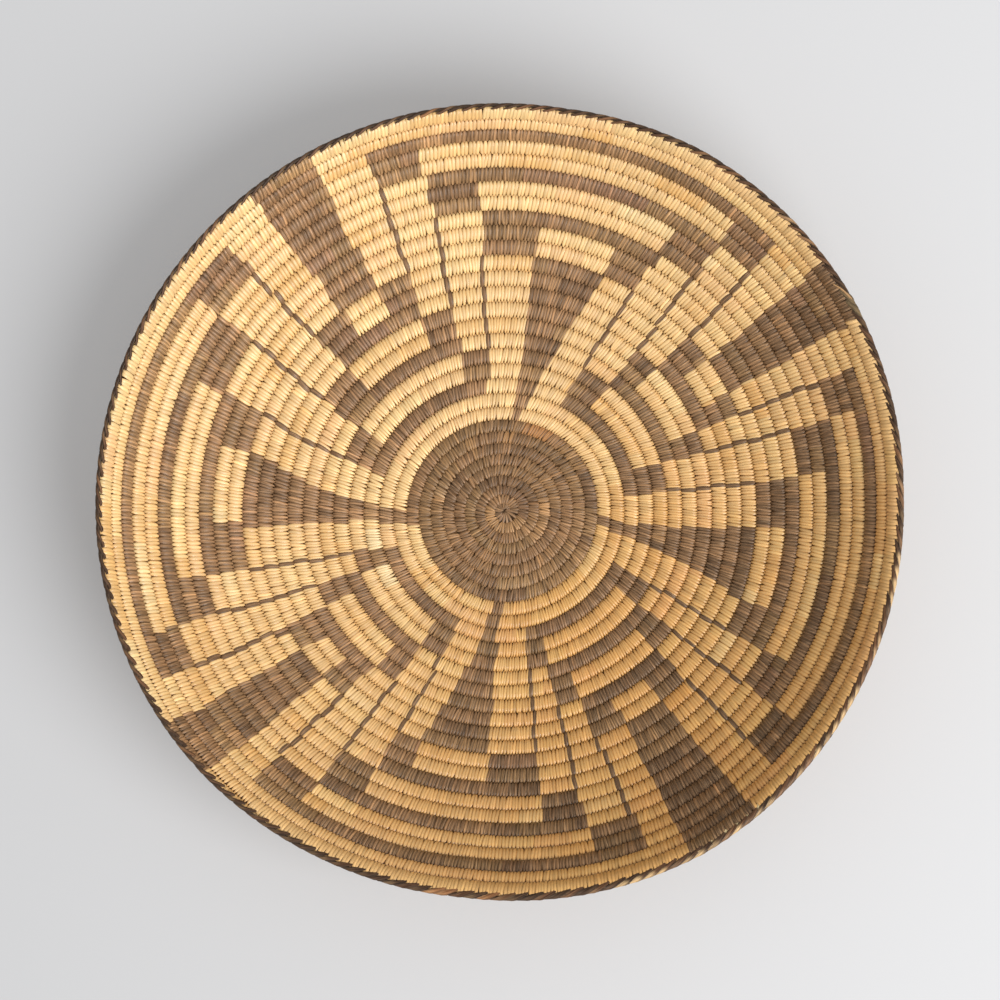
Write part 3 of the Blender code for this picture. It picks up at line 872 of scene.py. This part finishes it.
def build_knot_core(name):
    """The button of stems under the first stitches."""
    rings, sides = 12, 36
    turned = (np.arange(sides) / sides * TAU)[None, :]
    reach = np.linspace(0.01, 1.0, rings)[:, None] * knot_reach(turned)
    height = np.maximum(knot_height(reach, turned) - 0.55 * MM, 0.3 * MM)
    points = np.stack((reach * np.cos(turned), reach * np.sin(turned), height), axis=-1)
    low = points[::-1].copy()
    low[..., 2] = 0.05 * MM
    # A third of the stems' colour: painted shade where the core shows in the slit and between the stitches
    return tube_object(name, np.concatenate((points, low)), STEMS * 0.35, True)


# materials
def new_material(name):
    """A material with its nodes, its links and its shader."""
    material = bpy.data.materials.new(name)
    material.use_nodes = True
    nodes = material.node_tree.nodes
    return material, nodes, material.node_tree.links, nodes["Principled BSDF"]


def add_node(nodes, kind, operation=None, values=None):
    """A shader node with its operation and the values of its inputs, by their names or numbers."""
    node = nodes.new("ShaderNode" + kind)
    if operation:
        node.operation = operation
    for name, value in (values or {}).items():
        node.inputs[name].default_value = value
    return node


def range_node(nodes, start, end, first, last):
    """A node that turns values from start to end into values from first to last."""
    values = {"From Min": start, "From Max": end, "To Min": first, "To Max": last}
    return add_node(nodes, "MapRange", values=values)


def join(links, *ways):
    """Links, each from an output of one node to an input of another."""
    for source, output, target, entry in ways:
        links.new(source.outputs[output], target.inputs[entry])


# The noise's middle range, which becomes the gloss and the streaks, and the half width of a splint,
# in millimetres, over which its lighter crest goes over to its darker sides: painted highlight and
# painted shade, partly wear
GLOSS_NOISE, STREAK_NOISE, CREST_SHEEN_ACROSS = (0.35, 0.65), (0.30, 0.70), (0.08, 0.55)


def splint_material(
    name, roughness, streaks, scale, specular, crest=1.0, side=1.0, skew=1.0, glint=(0.0, 0.0, 0.0)
):
    """Split fibre: the tint on the points, with a painted highlight on the crest and painted shade on
    the sides, partly wear, and fine streaks along the splint.

    The streaks run between two brightnesses, skewed towards the darker one, and add the glint's
    colour where they are brightest. The scale is the noise's, across and along the splint.
    """
    material, nodes, links, shader = new_material(name)
    shader.inputs["Specular IOR Level"].default_value = specular
    tint, fibre = add_node(nodes, "Attribute"), add_node(nodes, "Attribute")
    tint.attribute_name, fibre.attribute_name = "tint", "fibre"
    stretch = add_node(nodes, "VectorMath", "MULTIPLY", {1: scale})
    noise = add_node(nodes, "TexNoise", values={"Scale": 1.0, "Detail": 3.0, "Roughness": 0.6})
    channels, parts = add_node(nodes, "SeparateXYZ"), add_node(nodes, "SeparateXYZ")
    gloss = range_node(nodes, *GLOSS_NOISE, *roughness)
    spread = range_node(nodes, *STREAK_NOISE, 0.0, 1.0)
    skewed = add_node(nodes, "Math", "POWER", {1: skew})
    streak = range_node(nodes, 0.0, 1.0, *streaks)
    glints = add_node(nodes, "VectorMath", "MULTIPLY_ADD", {1: glint})
    beside = add_node(nodes, "Math", "ABSOLUTE")
    # Painted highlight on the crest and painted shade on the sides, partly wear
    painted_sheen = range_node(nodes, *CREST_SHEEN_ACROSS, crest, side)
    painted_sheen.interpolation_type = "SMOOTHSTEP"
    both = add_node(nodes, "Math", "MULTIPLY")
    mix = add_node(nodes, "VectorMath", "SCALE")
    join(
        links, (fibre, "Vector", stretch, 0), (stretch, "Vector", noise, "Vector"),
        (noise, "Fac", spread, "Value"), (noise, "Color", channels, "Vector"),
        (channels, "Y", gloss, "Value"), (gloss, "Result", shader, "Roughness"),
        (tint, "Color", mix, 0), (fibre, "Vector", parts, "Vector"),
        (parts, "X", beside, 0), (beside, "Value", painted_sheen, "Value"),
        (spread, "Result", skewed, 0), (skewed, "Value", streak, "Value"),
        (streak, "Result", both, 0), (painted_sheen, "Result", both, 1),
        (both, "Value", mix, "Scale"), (skewed, "Value", glints, 0),
        (mix, "Vector", glints, 2), (glints, "Vector", shader, "Base Color"),
    )
    return material


pale_splint = splint_material(
    "pale splint", roughness=(0.20, 0.52), streaks=(0.84, 1.14), scale=(2.6, 0.22, 1.0), specular=0.50,
    crest=1.06, side=0.92,
)
dark_splint = splint_material(
    "dark splint", roughness=(0.28, 0.55), streaks=(0.63, 1.30), scale=(4.8, 0.18, 1.0), specular=0.28,
    crest=1.24, side=0.74, skew=2.4, glint=(0.26, 0.185, 0.115),
)
braid_splint = splint_material(
    "braid splint", roughness=(0.38, 0.52), streaks=(0.50, 1.60), scale=(5.2, 0.08, 1.0), specular=0.22,
    crest=1.15, side=0.80, skew=1.8, glint=(0.10, 0.07, 0.045),
)
stem_fibre = splint_material(
    "stem fibre", roughness=(0.80, 0.90), streaks=(0.6, 1.3), scale=(2.0, 0.3, 1.0), specular=0.20
)


# the pieces
stitches = lay_stitches()
tints = mottle_disc(stitches["turn"], splint_tints(stitches["dark"]))
tints[stitches["alone"]] = DARK_BLACK
# Painted shade and painted sheen on the wall, by the side that it lies on
tints = tints * side_shade_and_sheen(stitches["turn"], stitches["dark"])
tints[stitches["turn"] < 0] *= DISC_TINT


def finish_piece(piece, material, nodes):
    piece.data.materials.append(material)
    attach(piece, "root")
    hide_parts(*nodes)


centre = np.flatnonzero(stitches["row"] <= 0)
disc = build_stitches("centre_stitches", stitches, tints, centre)
finish_piece(disc, dark_splint, ["centre_coil"])
for low, high in ((1, 8), (9, 13), (14, 16), (17, 19), (20, 22)):
    rows = [f"sewn_row_{row:02d}" for row in range(low, high + 1)]
    here = (stitches["row"] >= low) & (stitches["row"] <= high)
    for word, is_dark, material in (("pale", False, pale_splint), ("dark", True, dark_splint)):
        chosen = np.flatnonzero(here & (stitches["dark"] == is_dark))
        name = f"{word}_stitches_rows_{low:02d}_{high:02d}"
        piece = build_stitches(name, stitches, tints, chosen)
        finish_piece(piece, material, rows)
for build, name, material, slot_name, node in (
    (build_bundle, "stem_bundle", stem_fibre, "split_stems", "foundation"),
    (build_knot, "start_knot_stitches", dark_splint, "dark_splint", "start_knot"),
    (build_knot_core, "start_knot_core", stem_fibre, "split_stems", "start_knot"),
    (build_braid_core, "rim_braid_core", braid_splint, "dark_splint", "rim_braid"),
    (build_braid, "rim_braid_strands", braid_splint, "dark_splint", "rim_braid"),
    (build_tail, "braid_tail_strand", braid_splint, "dark_splint", "braid_tail"),
):
    finish_piece(build(name), material, [node])


# floor, light and camera
PAPER, PAPER_GLOW = linear(213, 213, 214), linear(216, 217, 219)
# How much of the paper that is seen is glow, and the painted light that brightens it across the
# floor in place of the lamp's falloff: which way, the metres from and to, and the brightness there
BACKDROP_GLOW = 0.25
PAINTED_LIGHT_WAY, PAINTED_LIGHT_RANGE, PAINTED_LIGHT = (0.17, 0.10, 0.0), (-0.10, 0.10), (0.89, 1.09)


def make_floor():
    """A matt paper floor, which the camera sees as partly glowing."""
    bpy.ops.mesh.primitive_plane_add(size=8.0)
    floor = bpy.context.object
    floor.name = "backdrop"
    material, nodes, links, shader = new_material("backdrop paper")
    shader.inputs["Roughness"].default_value = 0.9
    shader.inputs["Specular IOR Level"].default_value = 0.0
    glow = add_node(nodes, "Emission", values={"Strength": 1.0})
    rays, where = add_node(nodes, "LightPath"), add_node(nodes, "TexCoord")
    seen, through = (add_node(nodes, "Math", "MAXIMUM") for _ in range(2))
    some = add_node(nodes, "Math", "MULTIPLY", {1: BACKDROP_GLOW})
    # Painted light: the paper's colour and glow brighten across the floor
    across = add_node(nodes, "VectorMath", "DOT_PRODUCT", {1: PAINTED_LIGHT_WAY})
    painted_falloff = range_node(nodes, *PAINTED_LIGHT_RANGE, *PAINTED_LIGHT)
    for tint, target, entry in ((PAPER, shader, "Base Color"), (PAPER_GLOW, glow, "Color")):
        paper = add_node(nodes, "VectorMath", "SCALE", {0: tint})
        join(links, (painted_falloff, "Result", paper, "Scale"), (paper, "Vector", target, entry))
    mix = add_node(nodes, "MixShader")
    join(
        links, (where, "Object", across, 0), (across, "Value", painted_falloff, "Value"),
        (rays, "Is Camera Ray", seen, 0), (rays, "Is Glossy Ray", seen, 1),
        (seen, "Value", through, 0), (rays, "Is Transmission Ray", through, 1),
        (through, "Value", some, 0), (some, "Value", mix, "Fac"),
        (shader, "BSDF", mix, 1), (glow, "Emission", mix, 2),
        (mix, "Shader", nodes["Material Output"], "Surface"),
    )
    floor.data.materials.append(material)


# The lamp, in watts and metres, and the light of the room
LAMP_POWER, LAMP_SIZE, LAMP_AT = 68.0, 2.0, Vector((1.40, -1.18, 1.75))
ROOM_LIGHT = 0.52


def light_scene():
    """One large round lamp, and an even white room."""
    data = bpy.data.lights.new("key", "AREA")
    data.shape = "DISK"
    data.size = LAMP_SIZE
    data.energy = LAMP_POWER
    lamp = add_object("key", data)
    lamp.location = LAMP_AT
    lamp.rotation_mode = "QUATERNION"
    lamp.rotation_quaternion = (-LAMP_AT).to_track_quat("-Z", "Y")
    world = bpy.data.worlds.new("room")
    bpy.context.scene.world = world
    world.use_nodes = True
    room = world.node_tree.nodes["Background"]
    room.inputs["Color"].default_value = (1.0, 1.0, 1.0, 1.0)
    room.inputs["Strength"].default_value = ROOM_LIGHT


CAMERA_DISTANCE, SENSOR_MM, LENS_MM = 1.72, 36, 123.0
CAMERA_AZIMUTH, CAMERA_ELEVATION = math.radians(29.4), math.radians(83.75)
AIM = Vector((-0.0007, 0.0030, 0.030))


def set_camera():
    """The camera at the photograph's angle."""
    data = bpy.data.cameras.new("camera")
    data.sensor_width = SENSOR_MM
    data.lens = LENS_MM
    camera = add_object("camera", data)
    level = math.cos(CAMERA_ELEVATION)
    x, y = math.sin(CAMERA_AZIMUTH) * level, -math.cos(CAMERA_AZIMUTH) * level
    back = Vector((x, y, math.sin(CAMERA_ELEVATION)))
    camera.location = AIM + back * CAMERA_DISTANCE
    right = Vector((0, 1, 0)).cross(back).normalized()
    up = back.cross(right).normalized()
    camera.rotation_mode = "QUATERNION"
    camera.rotation_quaternion = Matrix((right, up, back)).transposed().to_quaternion()
    bpy.context.scene.camera = camera


make_floor()
light_scene()
set_camera()
bpy.context.scene.view_settings.view_transform = "Standard"
